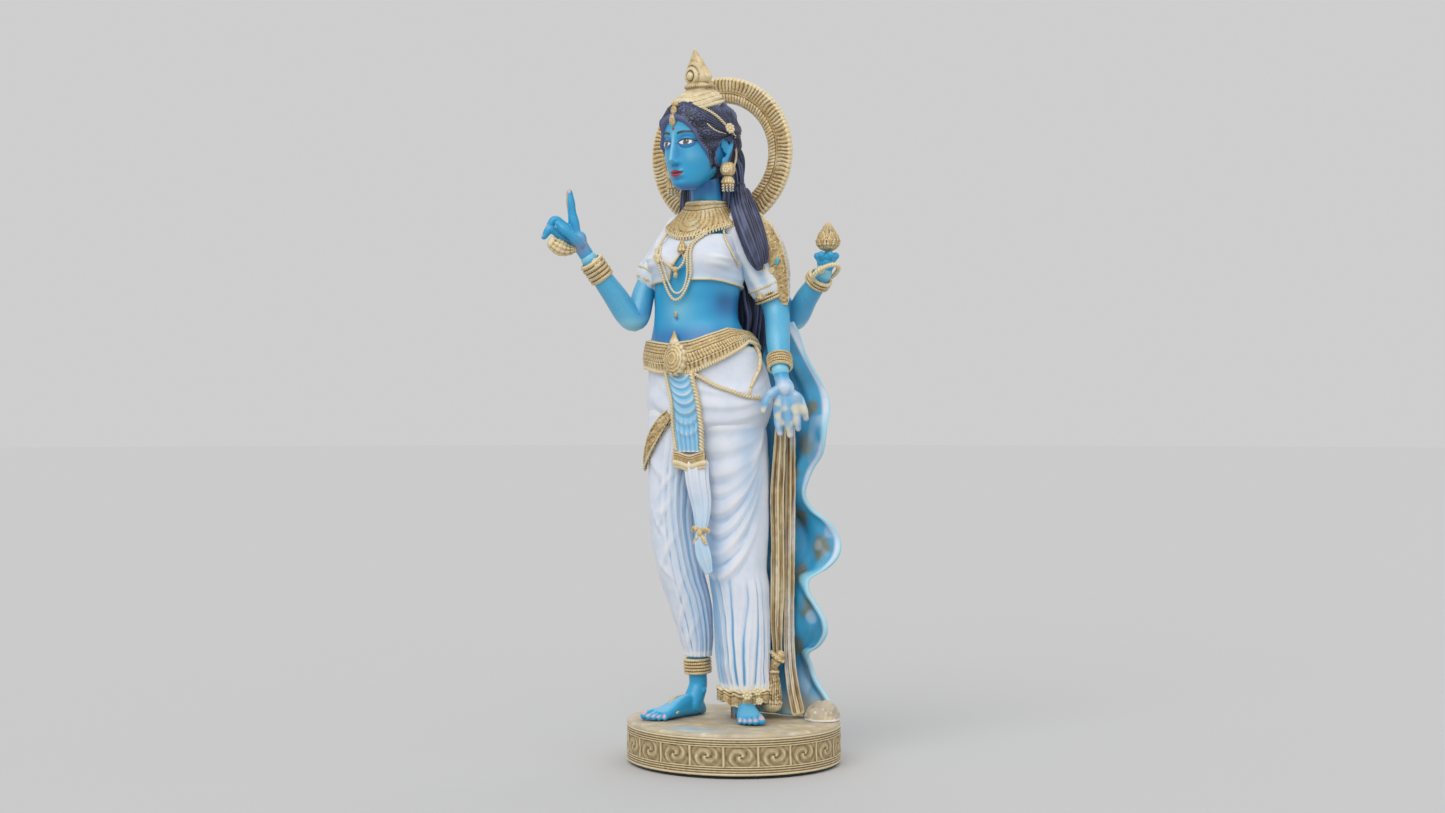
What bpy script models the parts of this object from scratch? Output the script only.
"""A painted resin statue of a standing goddess with a halo, built as separate castings on an oval plinth.

Metres, +Z up. The origin is the centre of the plinth's underside. The figure faces -Y and its own
left hand is at +X. Tables are in millimetres of the design stature and scale with STATURE; walls,
clearances, rods and jewellery keep their own sizes.
"""

from math import atan2, cos, exp, pi, radians, sin

import bmesh
import bpy
from mathutils import Matrix, Vector

MM = 0.001

# Driving dimensions, in metres.
STATURE = 0.524
PLINTH_LENGTH = 0.184
PLINTH_WIDTH = 0.172
PLINTH_HEIGHT = 0.031
GROUND_THICKNESS = 0.0027
FELT_THICKNESS = 0.002
FELT_INSET = 0.003
HALO_RADIUS = 0.067
HALO_BAND = 0.0225
HALO_THICKNESS = 0.0065
ROD_DIAMETER = 0.008
DOWEL_DIAMETER = 0.004
WAIST_DOWEL_DIAMETER = 0.008
JEWEL_THICKNESS = 0.0018
CLOTH_THICKNESS = 0.0022
FIT_GAP = 0.0003
LOOSE_GAP = 0.0007
CAPE_GAP = 0.001
BORE_CLEARANCE = 0.0002
WELD = 5e-6
# A sliver can leave one way of tidying a cut mesh open, so these are tried in turn.
CLEANINGS = [
    (weld, radians(flat), method)
    for flat in (2.5, 1.0, 0.2)
    for weld in (1e-5, 2e-5, 5e-6, 1e-6)
    for method in ("BEAUTY", "EAR_CLIP")
]

DESIGN_STATURE = 0.524
SCALE = MM * STATURE / DESIGN_STATURE
GROUND_TOP = FELT_THICKNESS + PLINTH_HEIGHT + GROUND_THICKNESS + FIT_GAP
ROD_PLACE = Vector((0.0, 0.004))
NUT_HEIGHT = 0.0065
WASHER_THICKNESS = 0.0016
POCKET_DIAMETER = ROD_DIAMETER + 0.014
POCKET_DEPTH = NUT_HEIGHT + WASHER_THICKNESS + 0.004
TONGUE_WIDTH, TONGUE_DEPTH = 0.016, 0.014

FINISHES = {
    "skin_blue": ((0.05, 0.42, 0.70), 0.42, 0.0),
    "cloth_white": ((0.66, 0.72, 0.83), 0.6, 0.0),
    "cloth_blue": ((0.12, 0.45, 0.66), 0.6, 0.0),
    "gold_paint": ((0.48, 0.34, 0.16), 0.45, 0.35),
    "hair_black": ((0.025, 0.03, 0.05), 0.5, 0.0),
    "plinth_gold": ((0.38, 0.29, 0.14), 0.65, 0.1),
    "ground_stone": ((0.52, 0.44, 0.34), 0.75, 0.0),
    "felt_black": ((0.02, 0.02, 0.02), 0.95, 0.0),
    "steel": ((0.6, 0.6, 0.62), 0.35, 1.0),
}


# ---------------------------------------------------------------- scene, finishes and helpers
def clear_scene():
    for obj in list(bpy.data.objects):
        bpy.data.objects.remove(obj)


def new_collection(name):
    collection = bpy.data.collections.new(name)
    bpy.context.scene.collection.children.link(collection)
    return collection


def finish(name):
    """The material of that name, made the first time it is asked for."""
    found = bpy.data.materials.get(name)
    if found:
        return found
    colour, roughness, metallic = FINISHES[name]
    material = bpy.data.materials.new(name)
    material.use_nodes = True
    shader = material.node_tree.nodes["Principled BSDF"]
    shader.inputs["Base Color"].default_value = (*colour, 1.0)
    shader.inputs["Roughness"].default_value = roughness
    shader.inputs["Metallic"].default_value = metallic
    return material


def place(x, y, z):
    """A point of the figure, from millimetres at the design stature."""
    return Vector((x, y, z)) * SCALE


def add_object(name, mesh, material, on_figure=True):
    obj = bpy.data.objects.new(name, mesh)
    statue.objects.link(obj)
    if on_figure:
        obj.parent = figure
    mesh.materials.clear()
    mesh.materials.append(finish(material))
    return obj


def mesh_from(name, build):
    """A mesh filled by build(bm), with its normals pointing out and its faces smooth."""
    bm = bmesh.new()
    build(bm)
    bmesh.ops.remove_doubles(bm, verts=bm.verts, dist=WELD)
    bmesh.ops.recalc_face_normals(bm, faces=bm.faces)
    bmesh.ops.triangulate(bm, faces=[face for face in bm.faces if len(face.verts) > 4])
    mesh = bpy.data.meshes.new(name)
    bm.to_mesh(mesh)
    bm.free()
    mesh.shade_smooth()
    mesh.set_sharp_from_angle(angle=radians(50))
    return mesh


def evaluated_mesh(obj):
    bpy.context.view_layer.update()
    graph = bpy.context.evaluated_depsgraph_get()
    return bpy.data.meshes.new_from_object(obj.evaluated_get(graph))


def drop_crumbs(bm):
    """Keeps the largest piece only, where a cut has left slivers beside it."""
    left, pieces = set(bm.faces), []
    while left:
        grown = [left.pop()]
        for face in grown:
            near = {other for edge in face.edges if edge.is_manifold for other in edge.link_faces} & left
            left -= near
            grown += near
        pieces.append(grown)
    pieces.sort(key=lambda piece: sum(face.calc_area() for face in piece))
    bmesh.ops.delete(bm, geom=[face for piece in pieces[:-1] for face in piece], context="FACES")


def as_mesh(obj):
    """Turns a curve, or an object with modifiers, into a plain welded mesh object of the same name."""
    name, material = obj.name, obj.data.materials[0].name
    on_figure, is_curve = obj.parent is not None, obj.type == "CURVE"
    mesh = evaluated_mesh(obj)
    bpy.data.objects.remove(obj)
    for weld, flat, method in CLEANINGS:
        bm = bmesh.new()
        bm.from_mesh(mesh)
        bmesh.ops.remove_doubles(bm, verts=bm.verts, dist=weld)
        if is_curve:
            bmesh.ops.recalc_face_normals(bm, faces=bm.faces)
        bmesh.ops.dissolve_limit(bm, angle_limit=flat, verts=bm.verts, edges=bm.edges)
        bmesh.ops.triangulate(bm, faces=bm.faces, ngon_method=method)
        drop_crumbs(bm)
        if all(edge.is_manifold for edge in bm.edges):
            break
    bm.to_mesh(mesh)
    bm.free()
    return add_object(name, mesh, material, on_figure)


def as_cutter(obj):
    for collection in list(obj.users_collection):
        collection.objects.unlink(obj)
    cutters.objects.link(obj)
    obj.hide_render = True
    obj.display_type = "WIRE"
    return obj


def boolean(obj, other, operation):
    """The castings meet along slivers that the EXACT solver leaves open, so MANIFOLD does the cuts."""
    modifier = obj.modifiers.new(f"{operation} {other.name}"[:60], "BOOLEAN")
    modifier.operation = operation
    modifier.solver = "MANIFOLD"
    modifier.object = other
    return obj


def set_origin(obj, point):
    """Moves an object's origin to a point of the figure and leaves its shape where it is."""
    obj.data.transform(Matrix.Translation(-point))
    obj.location = point
    return obj


def join(obj, *others):
    """Makes the others part of obj."""
    for other in others:
        boolean(obj, as_cutter(other), "UNION")
    return obj


def cut(obj, *others):
    for other in others:
        boolean(obj, as_cutter(other), "DIFFERENCE")
    return obj


def seat(obj, *neighbours, gap=FIT_GAP):
    """Cuts obj back so that it lies on its neighbours, a gap off their surfaces."""
    for neighbour in neighbours:
        bpy.context.view_layer.update()
        swollen = bpy.data.objects.new(f"{obj.name}_seat_{neighbour.name}"[:58], evaluated_mesh(neighbour))
        cutters.objects.link(swollen)
        swollen.matrix_world = neighbour.matrix_world
        displace = swollen.modifiers.new("gap", "DISPLACE")
        displace.strength = gap * 1.4
        displace.mid_level = 0.0
        boolean(obj, as_cutter(swollen), "DIFFERENCE")
    return obj


def rod_between(name, start, end, radius, material="steel", segments=12, on_figure=True):
    """A cylinder whose two ends are centred on start and end."""
    axis = end - start
    turn = Vector((0, 0, 1)).rotation_difference(axis).to_matrix().to_4x4()

    def build(bm):
        bmesh.ops.create_cone(
            bm,
            cap_ends=True,
            segments=segments,
            radius1=radius,
            radius2=radius,
            depth=axis.length,
            matrix=Matrix.Translation((start + end) / 2) @ turn,
        )

    return add_object(name, mesh_from(name, build), material, on_figure)


def bore(obj, start, end, radius, on_figure=True):
    """A round hole that runs from start to end."""
    return cut(obj, rod_between(f"{obj.name}_bore", start, end, radius, on_figure=on_figure))


def lathe(name, profile, material, centre=(0, 0, 0), tilt=None, flatten=1.0, steps=24):
    """A turned shape: profile is (radius, height) from the top down, in millimetres of the figure."""
    points = [Vector((r, 0, z)) for r, z in profile]
    mesh = bpy.data.meshes.new(name)
    mesh.from_pydata([p * SCALE for p in points], [(i, i + 1) for i in range(len(points) - 1)], [])
    obj = add_object(name, mesh, material)
    screw = obj.modifiers.new("turn", "SCREW")
    screw.steps = screw.render_steps = steps
    screw.use_merge_vertices = True
    screw.merge_threshold = 1e-5
    turned = as_mesh(obj)
    turned.data.transform(Matrix.Diagonal((1.0, flatten, 1.0, 1.0)))
    if tilt:
        turned.data.transform(tilt)
    turned.data.transform(Matrix.Translation(place(*centre)))
    return turned


def ball(name, centre, radii, material, turn=None, segments=16, rings=10):
    """An ellipsoid, in millimetres of the figure."""
    shape = Matrix.Diagonal((*(Vector(radii) * SCALE), 1.0))
    matrix = Matrix.Translation(place(*centre)) @ (turn or Matrix.Identity(4)) @ shape
    return add_object(
        name,
        mesh_from(
            name,
            lambda bm: bmesh.ops.create_uvsphere(
                bm, u_segments=segments, v_segments=rings, radius=1.0, matrix=matrix
            ),
        ),
        material,
    )


def limb(name, points, material, resolution=2, smooth=3):
    """A round limb through (x, y, z, radius) points, as a bevelled curve made a mesh."""
    curve = bpy.data.curves.new(name, "CURVE")
    curve.dimensions = "3D"
    curve.bevel_depth = SCALE
    curve.bevel_resolution = resolution
    curve.use_fill_caps = True
    curve.resolution_u = smooth
    spline = curve.splines.new("BEZIER")
    spline.bezier_points.add(len(points) - 1)
    spline.radius_interpolation = "CARDINAL"
    for point, (x, y, z, radius) in zip(spline.bezier_points, points, strict=True):
        point.co = place(x, y, z)
        point.radius = radius
        point.handle_left_type = point.handle_right_type = "AUTO"
    curve.materials.append(finish(material))
    obj = bpy.data.objects.new(name, curve)
    statue.objects.link(obj)
    obj.parent = figure
    return as_mesh(obj)


def skeleton(name, joints, bones, material, voxel=1.6, triangles=620):
    """A hand grown round bones. joints is {key: (x, y, z, radius)} and bones are pairs of keys."""
    keys = list(joints)
    mesh = bpy.data.meshes.new(name)
    mesh.from_pydata(
        [place(*joints[k][:3]) for k in keys],
        [(keys.index(a), keys.index(b)) for a, b in bones],
        [],
    )
    obj = add_object(name, mesh, material)
    obj.modifiers.new("skin", "SKIN")
    for key, skin in zip(keys, mesh.skin_vertices[0].data, strict=True):
        skin.radius = (joints[key][3] * SCALE, joints[key][3] * SCALE)
    mesh.skin_vertices[0].data[0].use_root = True
    subdivide = obj.modifiers.new("round", "SUBSURF")
    subdivide.levels = subdivide.render_levels = 1
    remesh = obj.modifiers.new("fuse", "REMESH")
    remesh.mode = "VOXEL"
    remesh.voxel_size = voxel * SCALE
    made = as_mesh(obj)
    count = len(made.data.polygons) * 2
    decimate = made.modifiers.new("thin", "DECIMATE")
    decimate.ratio = min(1.0, triangles / count)
    return as_mesh(made)


# ---------------------------------------------------------------- body forms
class Form:
    """An upright form through oval sections (z, x, y, half width, half depth), with swellings."""

    def __init__(self, rows, swellings=()):
        self.rows = rows
        self.swellings = swellings

    def section(self, z):
        """The oval at height z, on a smooth curve through the rows."""
        rows = self.rows
        i = max(0, min(len(rows) - 2, sum(row[0] <= z for row in rows) - 1))
        before, low, high, after = rows[max(i - 1, 0)], rows[i], rows[i + 1], rows[min(i + 2, len(rows) - 1)]
        span = high[0] - low[0]
        t = max(0.0, min(1.0, (z - low[0]) / span))
        found = []
        for k in range(1, 5):
            slope_low = (high[k] - before[k]) / max(high[0] - before[0], span) * span
            slope_high = (after[k] - low[k]) / max(after[0] - low[0], span) * span
            found.append(
                (2 * t**3 - 3 * t**2 + 1) * low[k]
                + (t**3 - 2 * t**2 + t) * slope_low
                + (3 * t**2 - 2 * t**3) * high[k]
                + (t**3 - t**2) * slope_high
            )
        return found

    def point(self, z, angle, lift=0.0):
        """A point on the form. Angle 0 is the front, -Y, and a quarter turn is the figure's left, +X."""
        x, y, wide, deep = self.section(z)
        for at_z, at_angle, height, spread_z, spread_angle in self.swellings:
            away = atan2(sin(angle - at_angle), cos(angle - at_angle))
            lift += height * exp(-((z - at_z) / spread_z) ** 2 - (away / spread_angle) ** 2)
        return place(x + (wide + lift) * sin(angle), y - (deep + lift) * cos(angle), z)


def even(low, high, count):
    return [low + (high - low) * i / (count - 1) for i in range(count)]


def loft(name, rings, material, on_figure=True):
    """A closed solid through rings of points, with a flat cap at each end."""

    def build(bm):
        rows = [[bm.verts.new(p) for p in ring] for ring in rings]
        for low, high in zip(rows, rows[1:]):
            count = len(low)
            for i in range(count):
                bm.faces.new((low[i], low[(i + 1) % count], high[(i + 1) % count], high[i]))
        bm.faces.new(list(reversed(rows[0])))
        bm.faces.new(rows[-1])

    return add_object(name, mesh_from(name, build), material, on_figure)


def column(name, form, low, high, levels, material, sides=24, lift=0.0):
    """The solid of a form between two heights."""
    angles = [2 * pi * i / sides for i in range(sides)]
    rings = [[form.point(z, a, lift) for a in angles] for z in even(low, high, levels)]
    return loft(name, rings, material)


def wrap(name, form, low, high, angles, material, rows=3, lift=0.6, thickness=CLOTH_THICKNESS, closed=False):
    """A sheet that lies on a form. low and high give its edges' heights at an angle."""

    def build(bm):
        grid = [
            [bm.verts.new(form.point(low(a) + (high(a) - low(a)) * j / (rows - 1), a, lift)) for a in angles]
            for j in range(rows)
        ]
        count = len(angles)
        for below, above in zip(grid, grid[1:]):
            for i in range(count if closed else count - 1):
                k = (i + 1) % count
                bm.faces.new((below[i], below[k], above[k], above[i]))

    bm = bmesh.new()
    build(bm)
    mesh = bpy.data.meshes.new(name)
    bm.to_mesh(mesh)
    bm.free()
    mesh.shade_smooth()
    obj = add_object(name, mesh, material)
    solidify = obj.modifiers.new("thickness", "SOLIDIFY")
    solidify.thickness = thickness
    solidify.offset = 1.0
    solidify.use_quality_normals = True
    return as_mesh(obj)


def around(centre, axis, radius, count=18):
    """A ring of points round an axis."""
    turn = Vector((0, 0, 1)).rotation_difference(axis).to_matrix()
    return [
        centre + turn @ Vector((radius * cos(2 * pi * i / count), radius * sin(2 * pi * i / count), 0))
        for i in range(count)
    ]


def cuff(name, centre, axis, inner, length, material, thickness=JEWEL_THICKNESS, flare=1.0):
    """A short open sleeve, such as a bangle, round an axis. Its bore is inner, in metres."""
    axis = axis.normalized()
    outer = inner + thickness
    ends = (-length / 2, length / 2)
    rings = [around(centre + axis * ends[0], axis, inner), around(centre + axis * ends[0], axis, outer)]
    rings += [around(centre, axis, outer + thickness * 0.3)]
    rings += [
        around(centre + axis * ends[1], axis, outer * flare),
        around(centre + axis * ends[1], axis, outer * flare - thickness),
    ]

    def build(bm):
        rows = [[bm.verts.new(p) for p in ring] for ring in rings]
        for low, high in zip(rows, [*rows[1:], rows[0]]):
            for i in range(len(low)):
                k = (i + 1) % len(low)
                bm.faces.new((low[i], low[k], high[k], high[i]))

    return add_object(name, mesh_from(name, build), material)


# ---------------------------------------------------------------- tables of the figure, in millimetres
LEFT_LEG = Form(
    [
        (22, 8, 6, 21, 17),
        (54, 6.5, 5, 22.5, 20),
        (100, 5, 5, 24.5, 23),
        (125, 2.5, 3.5, 26, 25),
        (168, 3, 3, 27, 26),
        (210, -1, 1, 32, 30),
        (236, -6, -1, 36, 33),
        (269, -12, -3, 38, 36),
    ]
)
RIGHT_LEG = Form(
    [
        (40, -37, 7, 10.5, 10.5),
        (53, -36.5, 5, 12, 12),
        (74, -38, 2, 15.7, 15),
        (100, -42, -2, 19.5, 19),
        (125, -47, -8, 20.3, 20.5),
        (168, -51, -14, 20.3, 21),
        (210, -49.5, -13, 23.5, 24),
        (236, -46, -10, 29, 28),
        (269, -41, -7, 33, 30),
    ]
)
PELVIS = Form(
    [
        (236, -21, -4, 46, 31),
        (252, -21, -4, 53, 36),
        (269, -21, -4, 57, 39),
        (286, -22, -4, 54.4, 37.5),
        (305, -23.5, -7, 50.8, 35),
        (320, -26, -9.5, 45.5, 31.5),
        (335, -30, -10, 38, 27.5),
    ]
)
BUST_HEIGHT, BUST_ANGLE = 388, radians(38)
TORSO = Form(
    [
        (318, -26, -9.5, 45.5, 31.5),
        (335, -30, -10, 38, 27.5),
        (349, -30, -10.5, 37, 27),
        (363, -29, -10.5, 38, 27.5),
        (386, -28, -9, 37, 26),
        (398, -27, -8, 33, 24.5),
        (408, -25, -6, 30, 21.5),
        (416, -24, -5, 27, 18.5),
        (424, -23, -4.5, 22, 16),
        (431, -22.5, -5, 16.5, 14),
        (440, -22, -7, 13.5, 12.5),
        (456, -22.5, -11, 12.5, 12),
    ],
    [(BUST_HEIGHT, BUST_ANGLE, 13, 13, 0.42), (BUST_HEIGHT, -BUST_ANGLE, 13, 13, 0.42)],
)
WAIST_SEAM, NECK_TOP = 321, 456

HEAD_CENTRE = (-23, -20, 486)
HEAD_TURN = Matrix.Rotation(radians(-15), 4, "Z") @ Matrix.Rotation(radians(6), 4, "X")
HEAD_ROWS = [
    (-39, -19, 6, 6),
    (-35, -17, 12, 12),
    (-26, -10, 19, 21),
    (-10, -3, 24.5, 28.5),
    (8, 0, 26.5, 31.5),
    (22, 1, 25, 29.5),
    (32, 2, 18, 21),
    (36, 2, 8, 10),
]
RIGHT_ARM = [
    (-50, -3, 413, 12),
    (-66, -6, 386, 11.5),
    (-77, -13, 365, 9.5),
    (-83, -23, 339, 11),
    (-96, -39, 362, 9.8),
    (-109, -55.5, 389, 7),
]
LEFT_ARM = [
    (3, -3, 413, 12),
    (19, 4, 385, 11.5),
    (32, 15, 348, 11),
    (42, -2, 318, 10),
    (49.5, -15, 294, 7.2),
]
REAR_ARM = [
    (4, 4, 408, 11.5),
    (18, 22, 376, 11),
    (33, 46, 340, 10.8),
    (52, 38, 358, 9.6),
    (70.5, 28.5, 377, 7.4),
]
RIGHT_HAND = {
    "wrist": (-109.5, -56, 390, 6.2),
    "palm": (-116, -62, 403, 8.0),
    "index": (-118.5, -63, 415, 4.6),
    "index_mid": (-120.5, -65, 430, 3.9),
    "index_tip": (-122, -66, 444.5, 3.0),
    "middle": (-123, -66.5, 412, 4.6),
    "middle_mid": (-131, -73, 421, 3.8),
    "middle_tip": (-136, -77, 415, 3.1),
    "ring": (-125, -68, 405, 4.4),
    "ring_mid": (-134, -76, 413, 3.6),
    "ring_tip": (-139, -79, 407, 3.0),
    "thumb": (-111, -67, 401, 4.4),
    "thumb_mid": (-117, -76, 409, 4.0),
    "thumb_tip": (-125, -80, 417, 3.2),
}
RIGHT_HAND_BONES = [
    ("wrist", "palm"),
    ("palm", "index"),
    ("index", "index_mid"),
    ("index_mid", "index_tip"),
    ("palm", "middle"),
    ("middle", "middle_mid"),
    ("middle_mid", "middle_tip"),
    ("palm", "ring"),
    ("ring", "ring_mid"),
    ("ring_mid", "ring_tip"),
    ("palm", "thumb"),
    ("thumb", "thumb_mid"),
    ("thumb_mid", "thumb_tip"),
]
LEFT_HAND = {
    "wrist": (49.8, -15.5, 292.5, 6.2),
    "palm": (54.5, -17.5, 279, 8.6),
    "index": (50.5, -19.5, 266, 4.8),
    "index_mid": (50, -20, 254, 4.0),
    "index_tip": (51, -18.5, 242, 3.0),
    "middle": (56, -17.5, 265, 4.8),
    "middle_mid": (58, -18, 252, 4.0),
    "middle_tip": (58.5, -15, 240.5, 3.0),
    "ring": (61, -15.5, 267, 4.6),
    "ring_mid": (64, -15.5, 256, 3.8),
    "ring_tip": (64.5, -12.5, 246, 3.0),
    "little": (65, -12.5, 270, 4.2),
    "little_mid": (69, -12, 262, 3.4),
    "little_tip": (70.5, -10, 254, 2.8),
    "thumb": (47, -22, 276, 4.4),
    "thumb_mid": (42.5, -26.5, 269, 3.8),
    "thumb_tip": (40.5, -28, 261, 3.0),
}
LEFT_HAND_BONES = [
    pair
    for finger in ("index", "middle", "ring", "little", "thumb")
    for pair in (("palm", finger), (finger, f"{finger}_mid"), (f"{finger}_mid", f"{finger}_tip"))
] + [("wrist", "palm")]
REAR_HAND = {
    "wrist": (71, 28.5, 378, 6.6),
    "palm": (73, 28.5, 386, 8.4),
    "grip_a": (66.5, 25.5, 391, 3.6),
    "grip_b": (72, 20.5, 391.5, 3.6),
    "grip_c": (79, 23.5, 391.5, 3.6),
    "grip_d": (80.5, 31, 391, 3.6),
    "grip_e": (73, 37, 390.5, 3.6),
}
REAR_HAND_BONES = [("wrist", "palm")] + [("palm", f"grip_{k}") for k in "abcde"]
BUD_CENTRE = (74.5, 29, 406)
ROD_REACH = 292
NECK_DOWEL = ((-22, -8.5, 438), (-22.5, -13, 470))
SHOULDER_DOWELS = {
    "shoulder_dowel_right": ((-46, -4, 408), (-61, -6, 396)),
    "shoulder_dowel_left": ((0, -5, 409), (15, -1, 399)),
    "shoulder_dowel_rear": ((-8, 7, 396), (9, 18, 390)),
}
# The halo's tongue stands in a ledge of the loose hair.
LEDGE = 414
HALO_PLACE = (-23, 24.5)
BELT_FORM = Form(
    [
        (236, -21, -4, 46, 31),
        (269, -21, -4, 57, 39),
        (286, -22, -4, 54.4, 37.5),
        (305, -23.5, -7, 50.8, 35),
        (320, -26, -9.5, 45.5, 31.5),
        (332, -29, -10, 40, 28.5),
    ]
)
# The heights of the belt's two edges by the angle round the hips, in degrees.
BELT_TOP = [
    (-180, 322), (-90, 321), (-50, 320), (-18, 317), (8, 319.5), (30, 325), (55, 330), (82, 328), (130, 325),
    (180, 322),
]
BELT_FOOT = [
    (-180, 305), (-90, 299), (-52, 297), (-30, 293.5), (4, 292.5), (18, 298), (32, 303.5), (52, 311), (76, 316),
    (130, 312), (180, 305),
]
SASH = Form(
    [
        (120, -17, -11, 26, 25),
        (168, -18, -9, 34, 28),
        (210, -20, -6, 46, 32),
        (250, -21, -4, 53, 36),
        (269, -21, -4, 57, 39),
        (286, -22, -4, 54.4, 37.5),
        (300, -23.5, -7, 51, 35.5),
    ]
)
COLLAR = Form(
    [
        (400, -26, -8, 36, 23),
        (410, -25, -6.5, 36.5, 22),
        (418, -24, -5.5, 34, 20),
        (426, -23, -5.5, 24, 17),
        (434, -22.3, -6, 16, 14.5),
        (441, -22, -7.3, 14, 13),
    ]
)
# The shawl's outer edge: how far it reaches to the side at each height.
SHAWL_EDGE = [
    (0, 84), (12, 82), (30, 65), (56, 59), (62, 80), (73, 84), (92, 79), (106, 68), (118, 67), (128, 84),
    (144, 88), (168, 76), (186, 58), (210, 64), (222, 76), (240, 81), (262, 77), (300, 60), (336, 40),
]
LONG_STRAND = [
    (405, -46), (392, -48), (376, -34), (362, -17), (352, -7), (346, 0), (352, 9), (364, 15), (380, 18), (394, 26),
    (406, 36),
]
SHORT_STRAND = [(404, -38), (393, -30), (382, -16), (374, -6), (378, 4), (388, 10), (398, 18), (406, 26)]


# ---------------------------------------------------------------- plinth
def ovals(profile):
    """Rings of the plinth's plan: profile is (height, inset from the plinth's edge) in metres."""
    sides = 40
    return [
        [
            Vector(
                (
                    (PLINTH_LENGTH / 2 - inset) * cos(2 * pi * i / sides),
                    (PLINTH_WIDTH / 2 - inset) * sin(2 * pi * i / sides),
                    z,
                )
            )
            for i in range(sides)
        ]
        for z, inset in profile
    ]


def make_felt():
    return loft("base_felt", ovals([(0.0, FELT_INSET), (FELT_THICKNESS, FELT_INSET)]), "felt_black", False)


def make_plinth():
    bottom = FELT_THICKNESS + FIT_GAP
    top = FELT_THICKNESS + PLINTH_HEIGHT
    moulding, step, chamfer = 0.0045, 0.0012, 0.001
    profile = [
        (bottom, 0.0),
        (bottom + moulding, 0.0),
        (bottom + moulding + chamfer, step),
        (top - moulding - chamfer, step),
        (top - moulding, 0.0),
        (top, chamfer),
    ]
    plinth = loft("plinth", ovals(profile), "plinth_gold", False)
    middle = ROD_PLACE.to_3d()
    bore(
        plinth,
        middle + Vector((0, 0, -0.001)),
        middle + Vector((0, 0, bottom + POCKET_DEPTH)),
        POCKET_DIAMETER / 2,
        on_figure=False,
    )
    bore(
        plinth,
        middle + Vector((0, 0, bottom)),
        middle + Vector((0, 0, top + 0.005)),
        ROD_DIAMETER / 2 + BORE_CLEARANCE,
        on_figure=False,
    )
    return plinth


def make_ground():
    low, top = FELT_THICKNESS + PLINTH_HEIGHT + FIT_GAP, GROUND_TOP - FIT_GAP
    profile = [(low, 0.0004), (low + (top - low) * 0.5, 0.0012), (top, 0.006)]
    ground = loft("ground", ovals(profile), "ground_stone", False)
    rock = ball("rock", (72, 24, 3), (16, 15, 13), "ground_stone", segments=10, rings=7)
    block = mesh_from("under_rock", lambda bm: bmesh.ops.create_cube(bm, size=0.2))
    base = bpy.data.objects.new("under_rock", block)
    cutters.objects.link(base)
    base.location = (0, 0, low - 0.1)
    join(ground, rock)
    cut(ground, base)
    bore(
        ground,
        ROD_PLACE.to_3d(),
        ROD_PLACE.to_3d() + Vector((0, 0, GROUND_TOP + 0.01)),
        ROD_DIAMETER / 2 + BORE_CLEARANCE,
        on_figure=False,
    )
    return ground


def make_rod():
    """The steel rod that holds the figure down, with its washer and nut in the plinth's pocket."""
    pocket_roof = FELT_THICKNESS + FIT_GAP + POCKET_DEPTH
    washer_low = pocket_roof - FIT_GAP - WASHER_THICKNESS
    nut_low = washer_low - FIT_GAP - NUT_HEIGHT
    middle = ROD_PLACE.to_3d()
    up = Vector((0, 0, 1))
    rod = rod_between(
        "armature_rod",
        middle + up * (nut_low - 0.001),
        middle + up * (GROUND_TOP + ROD_REACH * SCALE),
        ROD_DIAMETER / 2,
        segments=16,
        on_figure=False,
    )
    for name, low, thick, outer, sides in (
        ("rod_washer", washer_low, WASHER_THICKNESS, ROD_DIAMETER, 16),
        ("rod_nut", nut_low, NUT_HEIGHT, ROD_DIAMETER * 0.94, 6),
    ):
        start, end = middle + up * low, middle + up * (low + thick)
        piece = rod_between(name, start, end, outer, segments=sides, on_figure=False)
        bore(
            piece,
            middle + up * (low - 0.001),
            middle + up * (low + thick + 0.001),
            ROD_DIAMETER / 2 + BORE_CLEARANCE,
            on_figure=False,
        )
    return rod


# ---------------------------------------------------------------- trunk and legs
def make_lower_body():
    body = column("lower_body", PELVIS, 240, WAIST_SEAM, 6, "cloth_white")
    left = column("left_leg", LEFT_LEG, 24, 262, 8, "cloth_white", sides=20)
    right = column("right_leg", RIGHT_LEG, 50, 262, 9, "cloth_white", sides=20)
    join(body, left, right)
    hole = ROD_PLACE.to_3d()
    up = Vector((0, 0, SCALE))
    bore(body, hole + up * 0, hole + up * (ROD_REACH + 2), ROD_DIAMETER / 2 + BORE_CLEARANCE)
    bore(body, *waist_dowel_ends(3), WAIST_DOWEL_DIAMETER / 2 + BORE_CLEARANCE)
    return as_mesh(body)


def waist_dowel_ends(extra=0.0):
    return place(-28, -10, 303 - extra), place(-28, -10, 340 + extra)


def dowel_ends(ends, extra=0.0):
    start, end = (place(*p) for p in ends)
    along = (end - start).normalized() * extra * SCALE
    return start - along, end + along


def make_dowels():
    rod_between("waist_dowel", *waist_dowel_ends(), WAIST_DOWEL_DIAMETER / 2)
    rod_between("neck_dowel", *dowel_ends(NECK_DOWEL), DOWEL_DIAMETER / 2)
    for name, ends in SHOULDER_DOWELS.items():
        rod_between(name, *dowel_ends(ends), DOWEL_DIAMETER / 2, segments=10)


def make_torso():
    torso = column("torso", TORSO, WAIST_SEAM + 0.4, NECK_TOP, 15, "skin_blue")
    bore(torso, *waist_dowel_ends(2), WAIST_DOWEL_DIAMETER / 2 + BORE_CLEARANCE)
    bore(torso, *dowel_ends(NECK_DOWEL, 2), DOWEL_DIAMETER / 2 + BORE_CLEARANCE)
    for ends in SHOULDER_DOWELS.values():
        bore(torso, *dowel_ends(ends, 2), DOWEL_DIAMETER / 2 + BORE_CLEARANCE)
    return as_mesh(torso)


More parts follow.
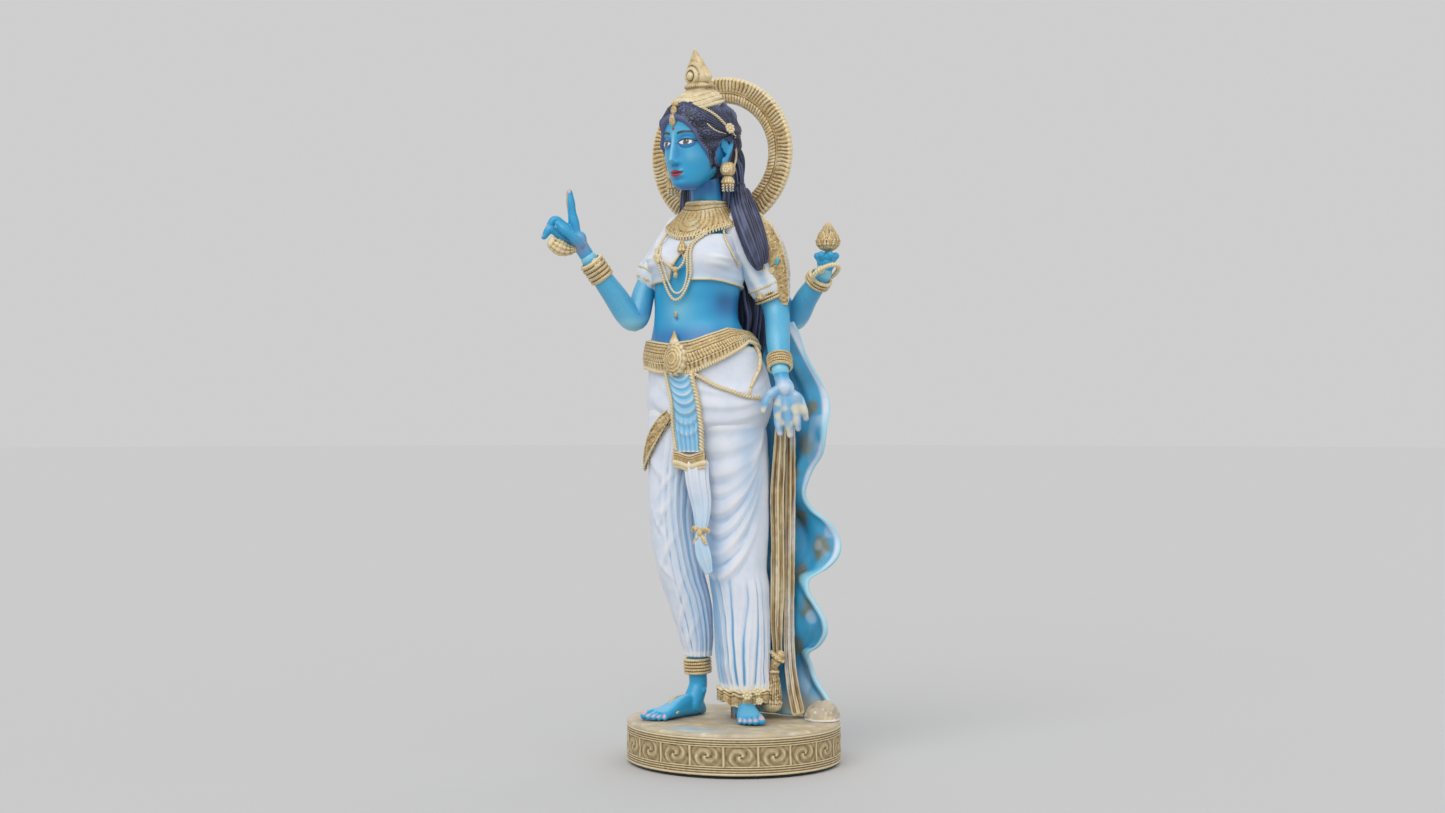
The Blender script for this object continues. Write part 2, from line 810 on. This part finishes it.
def make_foot(name, heel, toe, width, ankle, ankle_radius, cuff_z):
    """A bare foot: a sole that widens to the toes, under an ankle that runs up into the cloth."""
    heel, toe = Vector(heel), Vector(toe)
    along = toe - heel
    side = Vector((-along.y, along.x, 0)).normalized()
    sole = 0.3
    shape = [
        (0.0, 0.42, 9), (0.12, 0.6, 14), (0.35, 0.62, 18), (0.6, 0.8, 13), (0.82, 1.0, 8.5), (0.95, 0.85, 6.5),
        (1.0, 0.55, 5),
    ]
    outline = [
        (-1.0, 0.0), (-1.05, 0.35), (-0.8, 0.75), (-0.3, 1.0), (0.3, 1.0), (0.8, 0.75), (1.05, 0.35), (1.0, 0.0)
    ]
    rings = []
    for share, wide, tall in shape:
        middle = heel + along * share
        half = width / 2 * wide
        rings.append([place(*(middle + side * half * a + Vector((0, 0, sole + tall * b)))) for a, b in outline])
    foot = loft(name, rings, "skin_blue")
    shin = [
        (*(heel + along * 0.22).xy, 7, ankle_radius),
        (*ankle, 26, ankle_radius * 0.86),
        (*ankle, cuff_z, ankle_radius),
    ]
    return join(foot, limb(f"{name}_ankle", shin, "skin_blue"))


def make_feet(body):
    right = make_foot("foot_right", (-35, 12, 0), (-56, -49, 0), 21, (-37, 7), 9.2, 60)
    left = make_foot("foot_left", (4, 11, 0), (33, -36, 0), 22, (6, 7), 9.5, 40)
    hole = ROD_PLACE.to_3d()
    for foot in (right, left):
        bore(foot, hole, hole + Vector((0, 0, 70 * SCALE)), ROD_DIAMETER / 2 + BORE_CLEARANCE)
        seat(foot, body)
    return as_mesh(right), as_mesh(left)


# ---------------------------------------------------------------- head
def head_local(x, y, z):
    """A point of the head, in millimetres from its centre, before its turn."""
    return HEAD_TURN @ (Vector((x, y, z)) * SCALE) + place(*HEAD_CENTRE)


def make_head(torso):
    sides = 20
    rings = [
        [
            head_local(wide * sin(2 * pi * i / sides), y - deep * cos(2 * pi * i / sides), z)
            for i in range(sides)
        ]
        for z, y, wide, deep in HEAD_ROWS
    ]
    head = loft("head", rings, "skin_blue")
    nose = ball("nose", (0, 0, 0), (3.6, 5.5, 9), "skin_blue", segments=8, rings=6)
    nose.data.transform(Matrix.Translation(head_local(0, -31, -11)))
    ears = []
    for side in (-1, 1):
        ear = ball("ear", (0, 0, 0), (3, 5.5, 9.5), "skin_blue", turn=HEAD_TURN, segments=8, rings=6)
        ear.data.transform(Matrix.Translation(head_local(26 * side, 3, -7)))
        ears.append(ear)
    join(head, nose, *ears)
    seat(head, torso)
    bore(head, *dowel_ends(NECK_DOWEL, 2), DOWEL_DIAMETER / 2 + BORE_CLEARANCE)
    return as_mesh(head)


def head_ball(name, centre, radii, material, segments=16, rings=10):
    made = ball(name, (0, 0, 0), radii, material, turn=HEAD_TURN, segments=segments, rings=rings)
    made.data.transform(Matrix.Translation(head_local(*centre)))
    return made


def make_hair_cap(head, torso):
    hair = head_ball("hair_cap", (0, 4, 4.5), (30.5, 34.5, 36), "hair_black")
    face = head_ball("face_opening", (0, -36, -14), (24, 30, 33), "hair_black")
    ears = [
        head_ball("ear_opening", (30 * side, -2, -14), (9, 10, 15), "hair_black", 12, 8) for side in (-1, 1)
    ]
    cut(hair, face, *ears)
    seat(hair, head, torso)
    bore(hair, *dowel_ends(NECK_DOWEL, 2), DOWEL_DIAMETER / 2 + BORE_CLEARANCE)
    return as_mesh(hair)


def make_crown(hair, head):
    middle = Matrix.Translation(head_local(0, 4, 0))
    profile = [
        (0.0, 50), (9.5, 50), (12.5, 47), (12, 44), (15, 42), (17.5, 39), (20.5, 35), (22, 31), (22, 28), (0.0, 28)
    ]
    crown = lathe("crown", profile, "gold_paint", tilt=HEAD_TURN, steps=18)
    crown.data.transform(middle)
    seat(crown, hair, head, gap=LOOSE_GAP)
    crown = as_mesh(crown)
    leaf = [(0.0, 79.5), (2.5, 75), (6.5, 69), (10.5, 62), (11.5, 57), (9.5, 52.5), (6, 50.4), (0.0, 50.4)]
    finial = lathe("crown_finial", leaf, "gold_paint", tilt=HEAD_TURN, flatten=0.62, steps=14)
    finial.data.transform(middle)
    seat(finial, crown)
    return crown, as_mesh(finial)


def make_forehead_jewel(hair, head, crown):
    jewel = head_ball("forehead_jewel", (0, -30.5, 21), (3.6, 3, 8), "gold_paint", 10, 8)
    return as_mesh(seat(jewel, hair, head, crown))


def make_hair_back(torso, lower_body, head, hair_cap):
    """The long loose hair. Its upper part stays in front of the halo, which stands on a ledge in it."""
    rows = [
        (276, -31, 40, 16, 5),
        (290, -31, 39, 30, 7),
        (310, -31, 33, 42, 8.5),
        (335, -31, 24, 50, 11),
        (360, -30, 19, 54, 12.5),
        (385, -28, 18, 50, 14),
        (LEDGE - 3, -25, 17, 43, 15),
    ]
    hair = column("hair_back", Form(rows), 276, LEDGE, 9, "hair_black", sides=18)
    neck_hair = [
        (LEDGE - 24, -24, 4.5, 40, 9.5),
        (425, -22, 4.5, 33, 9.5),
        (445, -21, 4, 28, 10),
        (470, -20, 2.5, 24, 11.5),
    ]
    nape = column("nape", Form(neck_hair), LEDGE - 20, 468, 6, "hair_black", sides=14)
    join(hair, nape)
    seat(hair, torso, lower_body, head, hair_cap)
    return hair


def box(name, low, high, material, on_figure=True):
    """A box between two corners."""
    size = high - low
    matrix = Matrix.Translation((low + high) / 2) @ Matrix.Diagonal((*size, 1.0))
    mesh = mesh_from(name, lambda bm: bmesh.ops.create_cube(bm, size=1.0, matrix=matrix))
    return add_object(name, mesh, material, on_figure)


def make_halo(hair):
    """A flat ring whose tongue drops into a socket in the hair's ledge, so it lifts off upwards."""
    x, y = HALO_PLACE
    half = HALO_THICKNESS / 2
    inner = HALO_RADIUS - HALO_BAND
    section = [
        (HALO_RADIUS, 0.0),
        (HALO_RADIUS - 0.002, -half),
        (inner + 0.002, -half),
        (inner, 0.0),
        (inner + 0.002, half),
        (HALO_RADIUS - 0.002, half),
    ]
    middle = place(x, y, LEDGE) + Vector((0, 0, HALO_RADIUS + FIT_GAP))
    steps = 44

    def build(bm):
        rings = [
            [bm.verts.new(middle + Vector((r * cos(turn), offset, r * sin(turn)))) for r, offset in section]
            for turn in (2 * pi * i / steps for i in range(steps))
        ]
        for ring, following in zip(rings, [*rings[1:], rings[0]]):
            for j in range(len(section)):
                k = (j + 1) % len(section)
                bm.faces.new((ring[j], ring[k], following[k], following[j]))

    halo = add_object("halo", mesh_from("halo", build), "gold_paint")
    foot = middle - Vector((0, 0, HALO_RADIUS))
    corner = Vector((TONGUE_WIDTH / 2, half * 0.7, TONGUE_DEPTH))
    tongue = box("tongue", foot - corner, foot + Vector((corner.x, corner.y, 0.004)), "gold_paint")
    slack = Vector((FIT_GAP, FIT_GAP, FIT_GAP))
    roof = Vector((corner.x, corner.y, 0.02))
    socket = box("socket", foot - corner - slack, foot + roof + slack, "gold_paint")
    cut(hair, socket)
    join(halo, tongue)
    return set_origin(as_mesh(halo), foot)


def make_side_lock(*neighbours):
    """The lock of hair that falls over the front of the left shoulder."""
    points = [
        (-2, 2, 462, 6), (4, -4, 440, 8), (9, -15, 420, 9), (13, -25, 398, 8), (18, -26, 372, 5), (19, -22, 358, 2)
    ]
    return as_mesh(seat(limb("side_lock", points, "hair_black"), *neighbours, gap=LOOSE_GAP))


def make_earring(name, side, *neighbours):
    centre = head_local(30.5 * side, -1, -22)
    profile = [
        (0.0, 7.5), (3.5, 7), (5.5, 4), (5.6, 0), (4.2, -4), (3, -5), (4.4, -8), (3.4, -12), (0.0, -13)
    ]
    earring = lathe(name, profile, "gold_paint", steps=12)
    earring.data.transform(Matrix.Translation(centre))
    return as_mesh(seat(earring, *neighbours))


# ---------------------------------------------------------------- clothes
def make_blouse():
    edge_low, edge_high = 366, 408
    sides = [2 * pi * i / 24 for i in range(24)]
    blouse = wrap(
        "blouse",
        TORSO,
        lambda a: edge_low + 3 * cos(a - 0.6),
        lambda a: edge_high,
        sides,
        "cloth_white",
        rows=6,
        lift=1.2,
        closed=True,
    )
    for ends in SHOULDER_DOWELS.values():
        bore(blouse, *dowel_ends(ends), DOWEL_DIAMETER / 2 + BORE_CLEARANCE)
    return as_mesh(blouse)


def make_sleeve(name, arm_points, reach, *neighbours):
    """A short sleeve round the upper arm, that ends a share reach of the way past the arm's second point."""
    start, middle, low = (Vector(p[:3]) for p in arm_points[:3])
    end = middle.lerp(low, reach)
    points = [(*start.lerp(middle, 0.15), 14.5), (*middle, 14.5), (*end, 14.5)]
    sleeve = limb(name, points, "cloth_white")
    return as_mesh(seat(sleeve, *neighbours, gap=LOOSE_GAP))


def make_cape(*neighbours):
    """The gold-worked end of the shawl that lies over the left shoulder and down the outer arm."""
    rows = [
        (357, 46, 9, 3, 3),
        (366, 43, 9, 8, 7),
        (385, 36, 8, 12, 14),
        (405, 27, 4, 13, 17),
        (420, 17, 0, 12, 14),
        (427, 8, -2, 7, 8),
    ]
    cape = column("cape", Form(rows), 357, 427, 8, "gold_paint", sides=16)
    return as_mesh(seat(cape, *neighbours, gap=CAPE_GAP))


def follow(table, angle):
    """The height at an angle, read off a table of (degrees, height)."""
    turn = (angle * 180 / pi + 180) % 360 - 180
    for (start, low), (end, high) in zip(table, table[1:]):
        if turn <= end:
            return low + (high - low) * (turn - start) / (end - start)
    return table[-1][1]


def make_belt(lower_body):
    count = 24
    angles = [2 * pi * i / count for i in range(count)]
    return wrap(
        "belt",
        BELT_FORM,
        lambda a: follow(BELT_FOOT, a),
        lambda a: follow(BELT_TOP, a),
        angles,
        "gold_paint",
        rows=3,
        lift=1.1,
        thickness=0.003,
        closed=True,
    )


def make_buckle(*neighbours):
    centre = PELVIS.point(299, radians(-2), 4.0) / SCALE
    turn = Matrix.Rotation(radians(-2), 4, "Z")
    buckle = ball("belt_buckle", tuple(centre), (13, 6, 17), "gold_paint", turn=turn, segments=14, rings=9)
    return as_mesh(seat(buckle, *neighbours))


def make_centre_sash(*neighbours):
    """The pleated front panel that hangs from the buckle, with its beaded fringe."""
    angles = even(radians(-16), radians(12), 8)
    sash = wrap(
        "centre_sash", SASH, lambda a: 226, lambda a: 286, angles, "cloth_blue", rows=7, lift=3.2, thickness=0.003
    )
    sash = as_mesh(seat(sash, *neighbours))
    fringe = wrap(
        "sash_fringe", SASH, lambda a: 214, lambda a: 225.4, even(radians(-19), radians(15), 9), "gold_paint",
        rows=3, lift=3.4, thickness=0.0045,
    )
    fringe = as_mesh(seat(fringe, *neighbours))
    return sash, fringe


def make_lower_sash(*neighbours):
    """The narrow tail of cloth that falls between the legs, with its knot."""
    tail = limb(
        "lower_sash",
        [(-17, -35, 212, 7.5), (-14, -33, 190, 8), (-11, -31, 165, 6), (-9, -28, 145, 6), (-8, -26, 124, 4)],
        "cloth_white",
    )
    tail = as_mesh(seat(tail, *neighbours))
    knot = ball("sash_knot", (-9, -34, 160), (8, 6, 8), "gold_paint", segments=10, rings=8)
    knot = as_mesh(seat(knot, tail, *neighbours))
    return tail, knot


def make_thigh_border(*neighbours):
    """The leaf-shaped gold border that lies across the right thigh."""

    def middle(a):
        return 213 + 46 * (a - radians(-52)) / radians(58)

    def half(a):
        share = (a - radians(-53)) / radians(59)
        return 1.2 + 9.2 * sin(pi * min(1.0, max(0.0, share * 0.9 + 0.05)))

    border = wrap(
        "thigh_border", RIGHT_LEG, lambda a: middle(a) - half(a), lambda a: middle(a) + half(a),
        even(radians(-53), radians(6), 9), "gold_paint", rows=4, lift=1.4, thickness=0.0028,
    )
    return as_mesh(seat(border, *neighbours))


# ---------------------------------------------------------------- jewellery
def make_collar(*neighbours):
    """The broad gold collar that covers the seam between neck and blouse."""
    angles = [2 * pi * i / 20 for i in range(20)]
    collar = wrap(
        "collar_necklace", COLLAR, lambda a: 416 - 14 * max(0.0, cos(a)) ** 2, lambda a: 438,
        angles, "gold_paint", rows=4, lift=2.6, thickness=0.0026, closed=True,
    )
    return as_mesh(seat(collar, *neighbours))


def strand(name, points, radius, *neighbours):
    cord = limb(name, [(*p, radius) for p in points], "gold_paint", resolution=1)
    return as_mesh(seat(cord, *neighbours))


def bust_route(heights_angles, lift):
    return [tuple(TORSO.point(z, radians(a), lift) / SCALE) for z, a in heights_angles]


def make_strands(*neighbours):
    """Two bead strands that hang from the collar over the bust."""
    long_strand = strand("bead_strand_long", bust_route(LONG_STRAND, 5.2), 1.5, *neighbours)
    strand("bead_strand_short", bust_route(SHORT_STRAND, 5.0), 1.5, long_strand, *neighbours)


def make_pendant(*neighbours):
    centre = TORSO.point(392, 0.0, 5.0) / SCALE
    pendant = ball("pendant", tuple(centre), (4, 3, 7), "gold_paint", segments=10, rings=7)
    return as_mesh(seat(pendant, *neighbours))


def bangle_on(name, arm, start, end, share, length, *neighbours, flare=1.0):
    """A cuff round the arm between two of its table points, bored to the arm's own shape."""
    a, b = Vector(arm[start]), Vector(arm[end])
    centre = a.lerp(b, share)
    bangle = cuff(name, place(*centre.xyz), (b - a).xyz, centre.w * SCALE, length, "gold_paint", flare=flare)
    return as_mesh(seat(bangle, *neighbours))


# ---------------------------------------------------------------- shawl
def make_shawl(*neighbours):
    """The long shawl that falls behind the left side to the ground, with a ruffled outer edge."""
    rings = []
    for step, (z, reach) in enumerate(SHAWL_EDGE):
        inner = Vector((-6 + z * 0.02, 36 + z * 0.02))
        outer = Vector((reach * 0.92 + 2, 30 + 10 * sin(z * 0.05)))
        across = outer - inner
        side = Vector((-across.y, across.x)).normalized()
        count = 6
        line = []
        for i in range(count):
            share = i / (count - 1)
            ripple = 4.5 * sin(share * 3.2 * pi + step * 0.15) * share
            line.append(inner + across * share + side * ripple)
        thick = 2.6
        loop = [p + side * thick for p in line] + [p - side * thick for p in reversed(line)]
        rings.append([place(p.x, p.y, z + 0.6) for p in loop])
    shawl = loft("shawl", rings, "cloth_blue")
    return as_mesh(seat(shawl, *neighbours))


def make_stoles(*neighbours):
    """Two long gold-edged bands of cloth that fall from the left hand to the ground."""
    made = []
    routes = {
        "stole_front": [
            (45, -3, 262, 4.5), (42, 4, 230, 6), (37, 10, 180, 6.5), (35, 14, 110, 6), (36, 16, 50, 6),
            (37, 14, 8, 7),
        ],
        "stole_rear": [
            (50, 6, 262, 3.6), (50, 11, 230, 4.6), (50, 15, 180, 5), (47, 19, 110, 4.6), (47, 22, 50, 4.6),
            (52, 20, 4, 5.5),
        ],
    }
    for name, points in routes.items():
        stole = limb(name, points, "gold_paint", smooth=3)
        made.append(as_mesh(seat(stole, *made, *neighbours)))
    return made


# ---------------------------------------------------------------- build
def build():
    make_felt()
    make_plinth()
    ground = as_mesh(make_ground())
    make_rod()
    make_dowels()

    lower_body = make_lower_body()
    torso = make_torso()
    foot_right, foot_left = make_feet(lower_body)
    head = make_head(torso)
    hair_cap = make_hair_cap(head, torso)
    crown, finial = make_crown(hair_cap, head)
    jewel = make_forehead_jewel(hair_cap, head, crown)
    blouse = make_blouse()
    arm_right = as_mesh(seat(limb("arm_right", RIGHT_ARM, "skin_blue"), torso, blouse))
    arm_left = as_mesh(seat(limb("arm_left_front", LEFT_ARM, "skin_blue"), torso, blouse))
    arm_rear = as_mesh(seat(limb("arm_left_rear", REAR_ARM, "skin_blue"), torso, blouse, arm_left))
    for arm, key in ((arm_right, "right"), (arm_left, "left"), (arm_rear, "rear")):
        bore(arm, *dowel_ends(SHOULDER_DOWELS[f"shoulder_dowel_{key}"], 2), DOWEL_DIAMETER / 2 + BORE_CLEARANCE)
    arms = [as_mesh(arm) for arm in (arm_right, arm_left, arm_rear)]
    arm_right, arm_left, arm_rear = arms
    collar = make_collar(torso, blouse, *arms)

    hand_right = as_mesh(seat(skeleton("hand_right", RIGHT_HAND, RIGHT_HAND_BONES, "skin_blue"), arm_right))
    hand_left = as_mesh(seat(skeleton("hand_left_front", LEFT_HAND, LEFT_HAND_BONES, "skin_blue"), arm_left))
    hand_rear = as_mesh(
        seat(skeleton("hand_left_rear", REAR_HAND, REAR_HAND_BONES, "skin_blue", triangles=400), arm_rear)
    )

    sleeve_right = make_sleeve("sleeve_right", RIGHT_ARM, 0.8, arm_right, torso, blouse, collar)
    sleeve_left = make_sleeve("sleeve_left", LEFT_ARM, 0.4, arm_left, arm_rear, torso, blouse, collar)

    belt = make_belt(lower_body)
    belt = as_mesh(seat(belt, lower_body, torso))
    buckle = make_buckle(belt, lower_body)
    sash, fringe = make_centre_sash(lower_body, belt, buckle)
    tail, knot = make_lower_sash(lower_body, sash, fringe)
    border = make_thigh_border(lower_body, sash, fringe)

    hair_back = make_hair_back(torso, lower_body, head, hair_cap)
    halo = make_halo(hair_back)
    for ends in SHOULDER_DOWELS.values():
        bore(hair_back, *dowel_ends(ends), DOWEL_DIAMETER / 2 + BORE_CLEARANCE)
    dressed = (blouse, collar, sleeve_left, sleeve_right, belt, arm_right, arm_left, arm_rear)
    hair_back = as_mesh(seat(hair_back, *dressed, gap=LOOSE_GAP))
    lock = make_side_lock(hair_back, hair_cap, head, torso, blouse, collar, sleeve_left, arm_left)
    cape = make_cape(sleeve_left, arm_left, arm_rear, torso, blouse, collar, hair_back, lock)
    make_earring("earring_left", 1, head, hair_cap, hair_back, lock)
    make_earring("earring_right", -1, head, hair_cap, hair_back)

    pendant = make_pendant(blouse, torso, collar)
    make_strands(blouse, torso, collar, pendant, lock)

    bangle_on("armlet_right", RIGHT_ARM, 2, 3, 0.2, 0.009, arm_right, sleeve_right, blouse, torso, hair_back)
    bangle_on("armlet_left", LEFT_ARM, 1, 2, 0.62, 0.011, arm_left, sleeve_left, arm_rear, cape, hair_back)
    bangle_on("bangles_right", RIGHT_ARM, 4, 5, 0.68, 0.016, arm_right, hand_right)
    bangle_on("bangles_left_front", LEFT_ARM, 3, 4, 0.7, 0.015, arm_left, hand_left)
    bangle_on("bangle_left_rear", REAR_ARM, 3, 4, 0.75, 0.012, arm_rear, hand_rear, flare=1.25)

    bud = lathe(
        "lotus_bud",
        [(0.0, 14.5), (4, 10), (8.5, 3.5), (10.8, -3), (9.5, -8), (5, -11), (1.8, -11.5), (1.8, -18), (0.0, -18)],
        "gold_paint",
        centre=BUD_CENTRE,
        steps=14,
    )
    seat(hand_rear, bud)
    as_mesh(hand_rear)
    set_origin(bud, place(*BUD_CENTRE))
    shell = ball("shell_cup", (-128, -77.5, 402), (8, 6, 7), "gold_paint", segments=10, rings=7)
    as_mesh(seat(shell, hand_right))

    shawl = make_shawl(ground, lower_body, foot_left, belt, hair_back, arm_rear, arm_left, cape, hand_left)
    make_stoles(ground, shawl, lower_body, foot_left, hand_left, belt)

    cuff_low = place(-37, 7, 42)
    cuff("anklet_right", cuff_low, Vector((0, 0, 1)), 0.0098 * STATURE / DESIGN_STATURE, 0.012, "gold_paint")
    hem = wrap(
        "hem_left", LEFT_LEG, lambda a: 13 + 4 * abs(sin(2.5 * a)), lambda a: 23.2,
        [2 * pi * i / 20 for i in range(20)], "gold_paint", rows=2, lift=-1.0, thickness=0.0028, closed=True,
    )
    as_mesh(seat(hem, foot_left, lower_body))


clear_scene()
statue = new_collection("statue")
cutters = new_collection("cutters")
figure = bpy.data.objects.new("figure", None)
figure.location = (0, 0, GROUND_TOP)
statue.objects.link(figure)
bpy.context.view_layer.update()
build()
